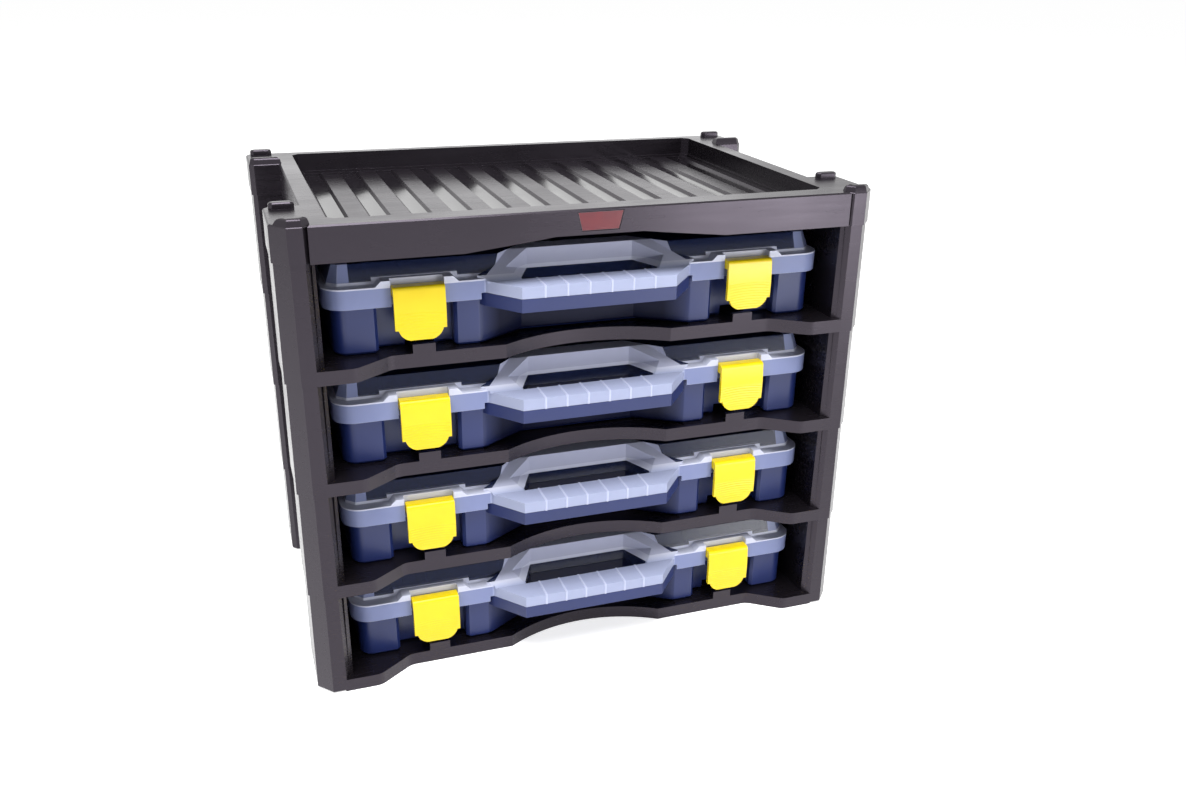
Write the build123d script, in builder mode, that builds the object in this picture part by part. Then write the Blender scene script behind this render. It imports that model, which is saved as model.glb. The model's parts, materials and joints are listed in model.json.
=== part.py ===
"""A stacking rack of four carrying cases with latched lids, under a tray top. Millimetres, +Z up."""
import os
from math import sqrt

from build123d import *

os.makedirs("parts", exist_ok=True)

# Rack: overall sizes. Its width, depth and pitch follow from the cases that it holds.
module_count = 4
post_width = 20.5
back_room = 23.5
head_room = 8.0
cap_height = 19.0
rack_wall = 2.5
post_draft = 0.75

# Posts at the four corners, and the recessed side between them
corner_cut_x = 8.0
corner_cut_y = 9.0
front_post_depth = 50.0
back_post_depth = 40.0
post_edge = 3.0
jamb_flare = 4.5
foot_chamfer = 1.2

# Ribs on top of the posts
rib_height = 3.5
rib_depth = 7.0
rib_bevel = 16.0
rib_side_gap = 0.5
seat_clearance = 0.4
bar_rib_length = 13.0
bar_rib_width = 5.5
bar_rib_corner = 1.8

# Shelf, its front lip and what stands on it
lip_height = 7.8
shelf_thickness = 2.0
lip_flush_x = 132.0
lip_bend_x = 112.0
lip_setback = 14.0
lip_bend_radius = 9.0
finger_arch_radius = 92.0
finger_arch_depth = 28.0
finger_recess_reach = 22.0
finger_recess_depth = 0.8
finger_recess_x = 62.0
tab_x = 94.0
tab_width = 12.3
tab_height = 5.0
tab_thickness = 3.0
stop_x = 40.0
stop_spacing = 80.0
stop_height = 18.0
stop_thickness = 2.5

# Top tray
tray_side_rim = 28.5
tray_front_rim = 14.0
tray_back_rim = 8.0
tray_depth = 12.5
tray_corner = 4.0
tray_floor = 2.5
tray_ledge = 1.5
cap_edge = 0.8
flute_width = 12.0
flute_depth = 1.5
flute_slope = 1.5
flute_count = 12
fascia_arch_rise = 6.7
fascia_arch_mid_rise = 4.1
fascia_arch_mid_x = 35.0
fascia_arch_x = 73.0
badge_top_width = 26.0
badge_bottom_width = 21.0
badge_margin = 0.6
badge_recess = 1.2
badge_thickness = 0.9
badge_gap = 0.2

# Carrying case: overall sizes, and the room round it in its bay
case_width = 289.0
case_depth = 195.0
case_height = 47.5
case_side_gap = 3.0
case_float = 0.2
stop_gap = 1.5

# Handle
handle_overhang = 2.5
handle_front_x = 44.0
handle_root_x = 59.0
handle_bar_depth = 16.3
handle_split_z = 29.5
handle_top_z = 36.0
handle_bottom_z = 22.0
hole_front_x = 40.0
hole_back_x = 31.0
hole_back_v = 34.0
hole_flare_x = 58.0
hole_flare_z = 45.0
grip_rib_count = 6
grip_rib_pitch = 12.5
grip_rib_width = 1.0
grip_rib_height = 0.4

# Lid: skirt, dome and pads
lid_wall = 1.8
skirt_bottom_z = 26.0
flange_top_z = 37.0
lid_front_v = 16.0
lid_corner = 12.0
dome_front_inset = 7.0
dome_side_inset = 3.0
dome_lean = 20.0
dome_corner = 9.0
hole_border = 11.4
ramp_start_v = 14.0
ramp_side_x = 53.0
ramp_side_v = 23.3
ramp_root_x = 63.0
ramp_root_v = 18.7
pad_width = 44.0
pad_height = 3.0
pad_depth = 16.0

# Base tray
base_wall = 2.0
base_front_v = 19.5
base_side_inset = 4.0
base_corner = 8.0
hinge_back_gap = 0.6
base_foot = 1.5
latch_recess_in_room = 3.0
latch_recess_out_room = 5.0
latch_recess_depth = 9.0
pillar_corner = 3.0
hand_recess_x = 61.0
hand_recess_back_x = 34.0
base_rim_gap = 0.3
hand_gap = 0.5
handle_gap = 0.2
channel_width = 16.0
channel_gap = 1.0
column_wall = 1.6

# Latches
latch_x = 95.5
latch_width = 27.5
latch_side_gap = 0.4
latch_thickness = 1.8
latch_face_v = 10.8
latch_bow = 0.7
latch_bottom_z = 8.0
latch_step_z = 14.0
latch_step = 1.8
latch_brow = 2.2
latch_tip_width = 12.0
latch_tip_bulge = 1.2
latch_axis_v = 17.6
latch_barrel_radius = 2.6
latch_stub_radius = 1.0
latch_stub_length = 1.6
latch_slot_gap = 0.6
catch_width = 22.0
catch_z = 22.0
catch_height = 3.5
catch_front_v = 15.4
catch_gap = 0.4
latch_top_z = 37.0
latch_ear = 2.4
hook_width = 20.0
hook_height = 4.0
running_gap = 0.06
snap_lip = 0.2

# Hinge at the back of the case
hinge_x = 80.0
hinge_barrel_length = 26.0
hinge_barrel_radius = 2.2
hinge_barrel_corner = 0.8
hinge_pin_radius = 1.2
hinge_axis_z = 24.0
hinge_ear = 2.5
hinge_end_gap = 0.3
hinge_ear_top_z = 25.6

# Loose divider plates
divider_thickness = 1.4
divider_height = 27.0
divider_gap = 0.15
divider_top_gap = 1.0
centre_divider_v = 112.0
side_divider_v = 79.0
guide_depth = 1.2
guide_width = 1.2

# Places worked out from the sizes above. v is a distance behind the rack's front plane.
case_back_v = case_depth - handle_overhang
frame_depth = case_back_v + back_room
module_pitch = lip_height + case_float + case_height + head_room
front_y = (handle_overhang - frame_depth) / 2
back_y = front_y + frame_depth
bay_half = case_width / 2 + case_side_gap
half_width = bay_half + post_width
side_out = bay_half + rack_wall
stack_height = module_pitch * module_count
cap_top = stack_height + cap_height
base_half = case_width / 2 - base_side_inset
base_back_v = case_back_v - 2 * hinge_barrel_radius - hinge_back_gap
base_rim_z = flange_top_z - lid_wall - base_rim_gap
hole_front_v = handle_bar_depth - handle_overhang
handle_front_v = grip_rib_height - handle_overhang
hand_recess_back_v = hole_back_v + lid_wall + hand_gap
latch_axis_z = latch_top_z - latch_barrel_radius
latch_slot_width = latch_width + 2 * latch_side_gap
latch_ears_width = latch_slot_width + 2 * latch_ear
latch_recess_in_x = latch_x - latch_ears_width / 2 - latch_recess_in_room
latch_recess_out_x = latch_x + latch_ears_width / 2 + latch_recess_out_room
latch_recess_v = base_front_v + latch_recess_depth
hinge_axis_v = case_back_v - hinge_barrel_radius
column_x = (tab_x / 3, tab_x)
arc_to_cut = 2 - sqrt(2)
channel_height = tab_height + channel_gap


def at(x, v):
    """A plan point: x across, v behind the front plane."""
    return (x, front_y + v)


def both_sides(points):
    """Closes a right-hand outline through its mirror image."""
    return points + [(-x, y) for x, y in reversed(points)]


rack_body = both_sides([at(side_out, 0), at(side_out, frame_depth)])
front_post = [
    at(bay_half + jamb_flare, 0),
    at(half_width - corner_cut_x, 0),
    at(half_width, corner_cut_y),
    at(half_width, front_post_depth - post_edge),
    at(half_width - post_edge, front_post_depth),
    at(bay_half, front_post_depth),
    at(bay_half, jamb_flare),
]
back_post = [
    at(bay_half, frame_depth - back_post_depth),
    at(half_width - post_edge, frame_depth - back_post_depth),
    at(half_width, frame_depth - back_post_depth + post_edge),
    at(half_width, frame_depth - post_edge),
    at(half_width - post_edge, frame_depth),
    at(bay_half, frame_depth),
]
bay_outline = both_sides([
    at(bay_half + jamb_flare, -1),
    at(bay_half + jamb_flare, 0),
    at(bay_half, jamb_flare),
    at(bay_half, frame_depth - rack_wall),
])
hole_outline = both_sides([at(hole_front_x, hole_front_v), at(hole_back_x, hole_back_v)])
base_outline = both_sides([
    at(hand_recess_back_x, hand_recess_back_v),
    at(hand_recess_x, base_front_v),
    at(latch_recess_in_x, base_front_v),
    at(latch_recess_in_x, latch_recess_v),
    at(latch_recess_out_x, latch_recess_v),
    at(latch_recess_out_x, base_front_v),
    at(base_half, base_front_v),
    at(base_half, base_back_v),
])
base_handle_outline = both_sides([
    at(handle_front_x, handle_front_v),
    at(handle_root_x, lid_front_v),
    at(hand_recess_x + base_wall / 2, base_front_v + base_wall / 2),
    at(hand_recess_back_x + base_wall / 2, hand_recess_back_v + base_wall / 2),
])
lid_handle_outline = both_sides([
    at(handle_front_x, handle_front_v),
    at(handle_root_x, lid_front_v),
    at(hand_recess_x - 2 * hand_gap, base_front_v),
    at(hand_recess_back_x - 2 * hand_gap, hand_recess_back_v - hand_gap),
])
border_outline = both_sides([
    at(handle_root_x - hand_gap, ramp_start_v),
    at(handle_root_x, lid_front_v),
    at(ramp_root_x, ramp_root_v),
    at(ramp_side_x, ramp_side_v),
    at(hole_back_x + hole_border, hole_back_v),
])


def closed_face(points, mode=Mode.ADD):
    """Adds the face inside a closed outline, kept where it is, to the sketch being built."""
    return Polygon(*points, align=None, mode=mode)


def rack_solid(bottom_z, height, grow=0.0, taper=0.0):
    """The body between the posts and the four posts, as one upright block."""
    with BuildPart() as block:
        for outline in (rack_body, front_post, back_post):
            with BuildSketch(Plane.XY.offset(bottom_z)):
                closed_face(outline)
                if grow:
                    offset(amount=grow, kind=Kind.INTERSECTION)
                if outline is not rack_body:
                    mirror(about=Plane.YZ)
            extrude(amount=height, taper=taper)
    return block.part


def front_ribs(top_z, inset, root=0.0):
    """A rib along the front edge of each post, which enters the hollow post above it."""
    with BuildPart() as ribs:
        for post in (front_post, back_post):
            with BuildSketch(Plane.XY.offset(top_z - root)):
                closed_face(post)
                offset(amount=-inset, kind=Kind.INTERSECTION)
                with Locations((half_width, min(y for _, y in post) + inset + rib_depth / 2)):
                    Rectangle(2 * half_width, rib_depth, mode=Mode.INTERSECT)
            extrude(amount=rib_height + root, taper=rib_bevel)
        mirror(about=Plane.YZ)
    return ribs.part


def bar_ribs(top_z):
    """A bar with cut corners near the back of each post."""
    bar_x = (side_out + half_width) / 2 - rib_side_gap
    bar_back = rack_wall + rib_side_gap + bar_rib_width / 2
    with BuildPart() as ribs:
        with BuildSketch(Plane.XY.offset(top_z)):
            for post in (front_post, back_post):
                with Locations((bar_x, max(y for _, y in post) - bar_back)):
                    Rectangle(bar_rib_length, bar_rib_width)
            chamfer(vertices(), bar_rib_corner)
            mirror(about=Plane.YZ)
        extrude(amount=rib_height)
    return ribs.part


def shelf_outline(setback):
    """The shelf's plan, with its front edge moved back by setback."""
    arch_centre_v = finger_arch_depth - finger_arch_radius
    radius = finger_arch_radius + setback
    edge_v = lip_setback + setback
    meet_x = sqrt(radius**2 - (edge_v - arch_centre_v) ** 2)
    end_v = frame_depth - rack_wall / 2 - 2 * setback
    side = bay_half + rack_wall / 2 - 2 * setback
    corner_x = bay_half - setback if setback else bay_half + jamb_flare + rack_wall / 3
    with BuildSketch() as plan:
        with BuildLine():
            ThreePointArc(at(-meet_x, edge_v), at(0, finger_arch_depth + setback), at(meet_x, edge_v))
            for hand in (1, -1):
                FilletPolyline(
                    at(hand * meet_x, edge_v),
                    at(hand * lip_bend_x, edge_v),
                    at(hand * lip_flush_x, setback),
                    at(hand * corner_x, setback),
                    radius=lip_bend_radius,
                )
                Polyline(
                    at(hand * corner_x, setback),
                    at(hand * corner_x, setback + rack_wall / 2),
                    at(hand * side, setback + jamb_flare + rack_wall / 2),
                    at(hand * side, end_v),
                )
            Line(at(side, end_v), at(-side, end_v))
        make_face()
    return plan.sketch


def rack_module(chamfered):
    """One stacking module, its bottom at z = 0."""
    with BuildPart() as module:
        foot_z = foot_chamfer if chamfered else 0
        if chamfered:
            add(rack_solid(0, foot_chamfer, grow=-foot_chamfer, taper=-45))
        add(rack_solid(foot_z, module_pitch - foot_z, taper=post_draft))
        with BuildSketch(Plane.XY.offset(-1)):
            closed_face(bay_outline)
        extrude(amount=module_pitch + 2, mode=Mode.SUBTRACT)
        for post in (front_post, back_post):
            with BuildSketch():
                closed_face(post)
                offset(amount=-rack_wall, kind=Kind.INTERSECTION)
                mirror(about=Plane.YZ)
            extrude(amount=module_pitch - rack_wall, mode=Mode.SUBTRACT)
        with BuildSketch():
            add(shelf_outline(0))
        extrude(amount=lip_height)
        with BuildSketch():
            add(shelf_outline(shelf_thickness))
        extrude(amount=lip_height - shelf_thickness, mode=Mode.SUBTRACT)
        with BuildSketch(Plane.XY.offset(lip_height)):
            arch_centre = at(0, finger_arch_depth - finger_arch_radius)
            with Locations(arch_centre):
                Circle(finger_arch_radius + finger_recess_reach)
            with Locations(at(0, lip_setback + shelf_thickness)):
                Rectangle(
                    2 * finger_recess_x, frame_depth, align=(Align.CENTER, Align.MIN), mode=Mode.INTERSECT
                )
            with Locations(arch_centre):
                Circle(finger_arch_radius + shelf_thickness, mode=Mode.SUBTRACT)
        extrude(amount=-finger_recess_depth, mode=Mode.SUBTRACT)
        with BuildSketch(Plane.XY.offset(lip_height)):
            with Locations(at(tab_x, lip_setback), at(-tab_x, lip_setback)):
                Rectangle(tab_width, tab_thickness, align=(Align.CENTER, Align.MIN))
        extrude(amount=tab_height)
        stop_front = front_y + case_back_v + stop_gap
        stop_back = back_y - rack_wall / 2
        for x in (-stop_x - stop_spacing, -stop_x, stop_x, stop_x + stop_spacing):
            with BuildSketch(Plane.YZ.offset(x)):
                closed_face([
                    (stop_front, lip_height - shelf_thickness / 2),
                    (stop_front, lip_height + stop_height),
                    (stop_back, lip_height + 2 * stop_height),
                    (stop_back, lip_height - shelf_thickness / 2),
                ])
            extrude(amount=stop_thickness / 2, both=True)
        add(front_ribs(module_pitch, rack_wall + seat_clearance))
    return module.part


def top_tray():
    """The cap: posts, arched fascia and the sunken, fluted tray."""
    tray_half = half_width - tray_side_rim
    tray_length = frame_depth - tray_front_rim - tray_back_rim
    tray_mid = front_y + tray_front_rim + tray_length / 2
    floor_z = cap_top - tray_depth
    under_z = floor_z - flute_depth - tray_floor
    flute_pitch = 2 * tray_half / flute_count
    with BuildPart() as cap:
        add(rack_solid(stack_height, cap_height, taper=post_draft))
        chamfer(cap.faces().sort_by(Axis.Z)[-1].edges(), cap_edge)
        with BuildSketch(Plane.XY.offset(cap_top)):
            with Locations((0, tray_mid)):
                Rectangle(2 * tray_half, tray_length)
            chamfer(vertices(), tray_corner)
        extrude(amount=tray_ledge - tray_depth, mode=Mode.SUBTRACT)
        with BuildSketch(Plane.XY.offset(floor_z)):
            with Locations((0, tray_mid)):
                Rectangle(2 * (tray_half - tray_ledge), tray_length - 2 * tray_ledge)
            chamfer(vertices(), tray_corner)
        extrude(amount=tray_ledge, mode=Mode.SUBTRACT)
        with BuildSketch(Plane.XZ.offset(-tray_mid)):
            for i in range(flute_count):
                x = (i - (flute_count - 1) / 2) * flute_pitch
                closed_face([
                    (x - flute_width / 2, floor_z),
                    (x + flute_width / 2, floor_z),
                    (x + flute_width / 2 - flute_slope, floor_z - flute_depth),
                    (x - flute_width / 2 + flute_slope, floor_z - flute_depth),
                ])
        extrude(amount=tray_length / 2 - 2 * tray_ledge, both=True, mode=Mode.SUBTRACT)
        add(rack_solid(stack_height, under_z - stack_height, grow=-rack_wall), mode=Mode.SUBTRACT)
        with BuildSketch(Plane.XY.offset(under_z)):
            closed_face(rack_body)
            offset(amount=-rack_wall, kind=Kind.INTERSECTION)
            with Locations((0, tray_mid)):
                Rectangle(2 * (tray_half + rack_wall), tray_length + 2 * rack_wall, mode=Mode.SUBTRACT)
        extrude(amount=cap_top - rack_wall - under_z, mode=Mode.SUBTRACT)
        for post in (front_post, back_post):
            with BuildSketch(Plane.XY.offset(under_z)):
                closed_face(post)
                offset(amount=-rack_wall, kind=Kind.INTERSECTION)
                mirror(about=Plane.YZ)
            extrude(amount=cap_top - rack_wall - under_z, mode=Mode.SUBTRACT)
        with BuildSketch(Plane.XZ.offset(-front_y)):
            with BuildLine():
                Polyline(
                    (fascia_arch_mid_x, stack_height + fascia_arch_mid_rise),
                    (fascia_arch_x, stack_height),
                    (-fascia_arch_x, stack_height),
                    (-fascia_arch_mid_x, stack_height + fascia_arch_mid_rise),
                )
                ThreePointArc(
                    (-fascia_arch_mid_x, stack_height + fascia_arch_mid_rise),
                    (0, stack_height + fascia_arch_rise),
                    (fascia_arch_mid_x, stack_height + fascia_arch_mid_rise),
                )
            make_face()
        extrude(amount=2 * rack_wall, both=True, mode=Mode.SUBTRACT)
        with BuildSketch(Plane.XZ.offset(-front_y - badge_recess)):
            closed_face(badge_outline(0))
        extrude(amount=2 * badge_recess, mode=Mode.SUBTRACT)
        add(front_ribs(cap_top, rib_side_gap, root=cap_edge))
        add(bar_ribs(cap_top))
    return cap.part


def badge_outline(inset):
    """The badge's outline on the fascia, drawn in by inset."""
    top_z = cap_top - cap_edge - badge_margin - inset
    bottom_z = stack_height + fascia_arch_rise + badge_margin + inset
    return [
        (badge_top_width / 2 - inset, top_z),
        (badge_bottom_width / 2 - inset, bottom_z),
        (inset - badge_bottom_width / 2, bottom_z),
        (inset - badge_top_width / 2, top_z),
    ]


def badge():
    """A plain plate seated in the fascia's recess."""
    with BuildPart() as plate:
        with BuildSketch(Plane.XZ.offset(-front_y - badge_recess)):
            closed_face(badge_outline(badge_gap))
        extrude(amount=badge_thickness)
    return plate.part


def base_plan(inset=0.0):
    """The base tray's plan, rounded at its outer corners, or drawn in by inset with cut corners."""
    with BuildSketch() as plan:
        closed_face(base_outline)
        if inset:
            offset(amount=-inset, kind=Kind.INTERSECTION)
        outer = plan.vertices().filter_by(lambda corner: abs(corner.X) > base_half - inset - 1)
        if inset:
            chamfer(outer, (base_corner - inset) * arc_to_cut)
        else:
            fillet(outer, base_corner)
            fronts = plan.vertices().filter_by(lambda corner: corner.Y < front_y + base_front_v + 1)
            pillars = fronts.filter_by(lambda corner: abs(corner.X) < latch_recess_out_x + 1)
            chamfer(pillars, pillar_corner * arc_to_cut)
    return plan.sketch


def pin_section(y, z, radius):
    """A pin's section: round below, flat on top."""
    with Locations((y, z)):
        Circle(radius)
        Rectangle(2 * radius, 2 * radius, align=(Align.CENTER, Align.MIN), mode=Mode.SUBTRACT)


def case_base():
    """The navy base tray, its underside at z = 0."""
    with BuildPart() as base:
        with BuildSketch():
            add(base_plan())
        extrude(amount=base_rim_z)
        chamfer(base.faces().sort_by(Axis.Z)[0].edges(), base_foot)
        with BuildSketch(Plane.XY.offset(base_wall)):
            add(base_plan(base_wall))
        extrude(amount=base_rim_z, mode=Mode.SUBTRACT)
        end_y = front_y + base_back_v - base_wall / 2
        channel_y = front_y + latch_recess_v + base_wall / 2
        column_starts = (front_y + hand_recess_back_v + base_wall / 2, channel_y)
        with BuildSketch():
            with Locations((tab_x, channel_y), (-tab_x, channel_y)):
                Rectangle(channel_width + 2 * base_wall, end_y - channel_y, align=(Align.CENTER, Align.MIN))
        extrude(amount=channel_height + base_wall)
        with BuildSketch(Plane.XY.offset(base_wall / 2)):
            for x, start_y in zip(column_x, column_starts):
                with Locations((x, start_y), (-x, start_y)):
                    Rectangle(column_wall, end_y - start_y, align=(Align.CENTER, Align.MIN))
            with Locations(*guide_places()):
                Rectangle(guide_depth, guide_width)
        extrude(amount=divider_height)
        with BuildSketch(Plane.XY.offset(-1)):
            with Locations((tab_x, 0), (-tab_x, 0)):
                Rectangle(channel_width, frame_depth)
        extrude(amount=channel_height + 1, mode=Mode.SUBTRACT)
        with BuildSketch(Plane.XY.offset(handle_bottom_z)):
            closed_face(base_handle_outline)
            closed_face(hole_outline, mode=Mode.SUBTRACT)
        extrude(amount=handle_split_z - handle_gap - handle_bottom_z)
        with BuildSketch(Plane.XY.offset(catch_z)):
            catch_length = latch_recess_v + base_wall / 2 - catch_front_v
            with Locations(at(latch_x, catch_front_v), at(-latch_x, catch_front_v)):
                Rectangle(catch_width, catch_length, align=(Align.CENTER, Align.MIN))
        extrude(amount=catch_height)
        ear_start_v = base_back_v - base_wall / 2
        ear_x = hinge_barrel_length / 2 + hinge_end_gap + hinge_ear / 2
        with BuildSketch(Plane.XY.offset(hinge_axis_z - hinge_barrel_radius)):
            for hinge in (-hinge_x, hinge_x):
                with Locations(at(hinge - ear_x, ear_start_v), at(hinge + ear_x, ear_start_v)):
                    Rectangle(hinge_ear, case_back_v - ear_start_v, align=(Align.CENTER, Align.MIN))
        extrude(amount=hinge_ear_top_z - hinge_axis_z + hinge_barrel_radius)
        for hinge in (-hinge_x, hinge_x):
            with BuildSketch(Plane.YZ.offset(hinge)):
                pin_section(front_y + hinge_axis_v, hinge_axis_z, hinge_pin_radius)
            extrude(amount=ear_x, both=True)
    return base.part


def divider_places():
    """The loose plates: plan centre and length of each."""
    side_x = (column_x[0] + column_x[1]) / 2
    side_length = column_x[1] - column_x[0] - column_wall
    return [
        (0.0, front_y + centre_divider_v, 2 * column_x[0] - column_wall),
        (-side_x, front_y + side_divider_v, side_length),
        (side_x, front_y + side_divider_v, side_length),
    ]


def guide_places():
    """Two guide ribs at each end of each loose plate, on the walls beside it."""
    reach = divider_thickness / 2 + divider_gap + guide_width / 2
    places = []
    for x, y, length in divider_places():
        for end in (-1, 1):
            for side in (-1, 1):
                places.append((x + end * (length - guide_depth) / 2, y + side * reach))
    return places


def case_dividers():
    """The loose divider plates of one case, standing on its floor."""
    with BuildPart() as plates:
        for x, y, length in divider_places():
            notch = abs(x) > column_x[0]
            with BuildSketch(Plane.XZ.offset(-y)):
                with Locations((x, base_wall + divider_gap)):
                    Rectangle(
                        length - 2 * divider_gap,
                        divider_height - divider_top_gap,
                        align=(Align.CENTER, Align.MIN),
                    )
                if notch:
                    for hand in (-1, 1):
                        with Locations((hand * tab_x, 0)):
                            Rectangle(
                                channel_width + 2 * base_wall + 2 * divider_gap,
                                2 * (channel_height + base_wall + divider_gap),
                                mode=Mode.SUBTRACT,
                            )
            extrude(amount=divider_thickness / 2, both=True)
    return plates.part


def ramp_cut():
    """What is taken off above the sloped border of the hand hole."""
    with BuildPart() as cut:
        with BuildSketch(Plane.XY.offset(handle_top_z)):
            closed_face(border_outline)
        extrude(amount=2 * case_height)
        with BuildSketch(Plane.YZ):
            closed_face([
                (front_y + ramp_start_v, handle_top_z),
                (front_y + hole_back_v, case_height),
                (front_y + hole_back_v, 2 * case_height),
                (front_y + ramp_start_v, 2 * case_height),
            ])
        extrude(amount=case_width / 2, both=True, mode=Mode.INTERSECT)
    return cut.part


def hand_hole():
    """The hole behind the handle: straight through its depth, then flared up to the sloped border."""
    with BuildPart() as hole:
        with BuildSketch(Plane.XY.offset(skirt_bottom_z)):
            closed_face(hole_outline)
        extrude(amount=handle_top_z - skirt_bottom_z)
        flare_top = case_height + 1
        flare = []
        for side in (1, -1):
            flare += [
                (*at(side * hole_front_x, hole_front_v), handle_top_z),
                (*at(side * hole_back_x, hole_back_v), handle_top_z),
                (*at(side * hole_back_x, hole_back_v), flare_top),
                (*at(side * hole_flare_x, hole_front_v), hole_flare_z),
                (*at(side * hole_flare_x, hole_front_v), flare_top),
            ]
        ConvexPolyhedron(flare)
    return hole.part


def lid_plan(mid, width, length, corner, rounded):
    """A rectangle with rounded corners, or with corners cut to about the same curve."""
    with BuildSketch() as plan:
        with Locations(mid):
            Rectangle(width, length)
        if rounded:
            fillet(vertices(), corner)
        else:
            chamfer(vertices(), corner * arc_to_cut)
    return plan.sketch


def lid_form(inset=0.0):
    """The lid's skirt and dome as one block, or the space within its wall."""
    length = case_back_v - lid_front_v
    dome_length = length - dome_front_inset - dome_side_inset
    dome_width = case_width - 2 * dome_side_inset
    mid = at(0, lid_front_v + length / 2)
    dome_mid = at(0, lid_front_v + dome_front_inset + dome_length / 2)
    shrink = 2 * inset
    with BuildPart() as form:
        with BuildSketch(Plane.XY.offset(skirt_bottom_z - inset)):
            add(lid_plan(mid, case_width - shrink, length - shrink, lid_corner - inset, not inset))
        extrude(amount=flange_top_z - skirt_bottom_z)
        with BuildSketch(Plane.XY.offset(flange_top_z - inset)):
            add(lid_plan(dome_mid, dome_width - shrink, dome_length - shrink, dome_corner - inset, False))
        extrude(amount=case_height - flange_top_z, taper=dome_lean)
    return form.part


def hand_wall():
    """The solid stretch of the lid round the hand hole, up to its sloped border."""
    with BuildPart() as wall:
        add(lid_form())
        with BuildSketch(Plane.XY.offset(flange_top_z - lid_wall)):
            closed_face(border_outline)
            offset(amount=lid_wall, kind=Kind.INTERSECTION)
        extrude(amount=case_height, mode=Mode.INTERSECT)
        with BuildSketch(Plane.XY.offset(flange_top_z - lid_wall)):
            closed_face(border_outline)
        extrude(amount=case_height - flange_top_z + lid_wall)
        with BuildSketch(Plane.XY.offset(handle_split_z)):
            closed_face(lid_handle_outline)
        extrude(amount=handle_top_z - handle_split_z)
        add(ramp_cut(), mode=Mode.SUBTRACT)
    return wall.part


def snap_slot(pin_v, pin_z, radius, open_z):
    """A slot that a round pin snaps into from below, with its narrower mouth."""
    pocket = radius + running_gap
    mouth = radius - snap_lip
    pin_y = front_y + pin_v
    return closed_face([
        (pin_y - pocket, pin_z + pocket),
        (pin_y + pocket, pin_z + pocket),
        (pin_y + pocket, pin_z - pocket),
        (pin_y + mouth, pin_z - pocket),
        (pin_y + mouth, open_z),
        (pin_y - mouth, open_z),
        (pin_y - mouth, pin_z - pocket),
        (pin_y - pocket, pin_z - pocket),
    ])


def lid_shell():
    """The lid's wall, with its latch pads, the handle's upper half and the hand hole."""
    with BuildPart() as shell:
        add(lid_form())
        with BuildSketch(Plane.XZ.offset(-front_y - lid_front_v)):
            for x in (-latch_x, latch_x):
                closed_face([
                    (x - pad_width / 2, flange_top_z),
                    (x - pad_width / 2 + pad_height, flange_top_z + pad_height),
                    (x + pad_width / 2 - pad_height, flange_top_z + pad_height),
                    (x + pad_width / 2, flange_top_z),
                ])
        extrude(amount=-pad_depth)
        add(lid_form(lid_wall), mode=Mode.SUBTRACT)
        add(ramp_cut(), mode=Mode.SUBTRACT)
        add(hand_wall())
        with BuildSketch(Plane.XY.offset(skirt_bottom_z - 1)):
            with Locations(at(0, lid_front_v - 1)):
                Rectangle(
                    2 * (hand_recess_x + hand_gap), hand_recess_back_v, align=(Align.CENTER, Align.MIN)
                )
        extrude(amount=handle_split_z - skirt_bottom_z + 1, mode=Mode.SUBTRACT)
        add(hand_hole(), mode=Mode.SUBTRACT)
    return shell.part


def case_lid():
    """The translucent lid, with its latch ears, grip ribs and hinge hooks."""
    slot_back_v = latch_axis_v + latch_barrel_radius + latch_slot_gap
    with BuildPart() as lid:
        add(lid_shell())
        with BuildSketch(Plane.XY.offset(skirt_bottom_z)):
            with Locations(at(latch_x, lid_front_v), at(-latch_x, lid_front_v)):
                Rectangle(
                    latch_ears_width, slot_back_v + lid_wall - lid_front_v, align=(Align.CENTER, Align.MIN)
                )
        extrude(amount=flange_top_z - skirt_bottom_z)
        with BuildSketch(Plane.XY.offset(skirt_bottom_z - 1)):
            with Locations(at(latch_x, 0), at(-latch_x, 0)):
                Rectangle(latch_slot_width, slot_back_v, align=(Align.CENTER, Align.MIN))
        extrude(amount=case_height, mode=Mode.SUBTRACT)
        for x in (-latch_x, latch_x):
            with BuildSketch(Plane.YZ.offset(x)):
                snap_slot(latch_axis_v, latch_axis_z, latch_stub_radius, skirt_bottom_z - 1)
            extrude(amount=latch_ears_width / 2 - latch_ear / 3, both=True, mode=Mode.SUBTRACT)
        for i in range(grip_rib_count):
            x = (i - (grip_rib_count - 1) / 2) * grip_rib_pitch
            with BuildSketch(Plane.YZ.offset(x)):
                with Locations((front_y - handle_overhang, handle_split_z)):
                    Rectangle(
                        handle_bar_depth,
                        handle_top_z + grip_rib_height - handle_split_z,
                        align=(Align.MIN, Align.MIN),
                    )
            extrude(amount=grip_rib_width / 2, both=True)
        for hinge in (-hinge_x, hinge_x):
            with BuildSketch(Plane.YZ.offset(hinge)):
                with Locations((front_y + hinge_axis_v, hinge_axis_z)):
                    Rectangle(2 * hinge_barrel_radius, 2 * hinge_barrel_radius)
                chamfer(vertices(), hinge_barrel_corner)
                with Locations((front_y + case_back_v, hinge_axis_z)):
                    Rectangle(lid_wall, skirt_bottom_z + 1 - hinge_axis_z, align=(Align.MAX, Align.MIN))
            extrude(amount=hinge_barrel_length / 2, both=True)
            with BuildSketch(Plane.YZ.offset(hinge)):
                mouth_z = hinge_axis_z - 2 * hinge_barrel_radius
                snap_slot(hinge_axis_v, hinge_axis_z, hinge_pin_radius, mouth_z)
            extrude(amount=hinge_barrel_length / 2, both=True, mode=Mode.SUBTRACT)
    return lid.part


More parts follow.
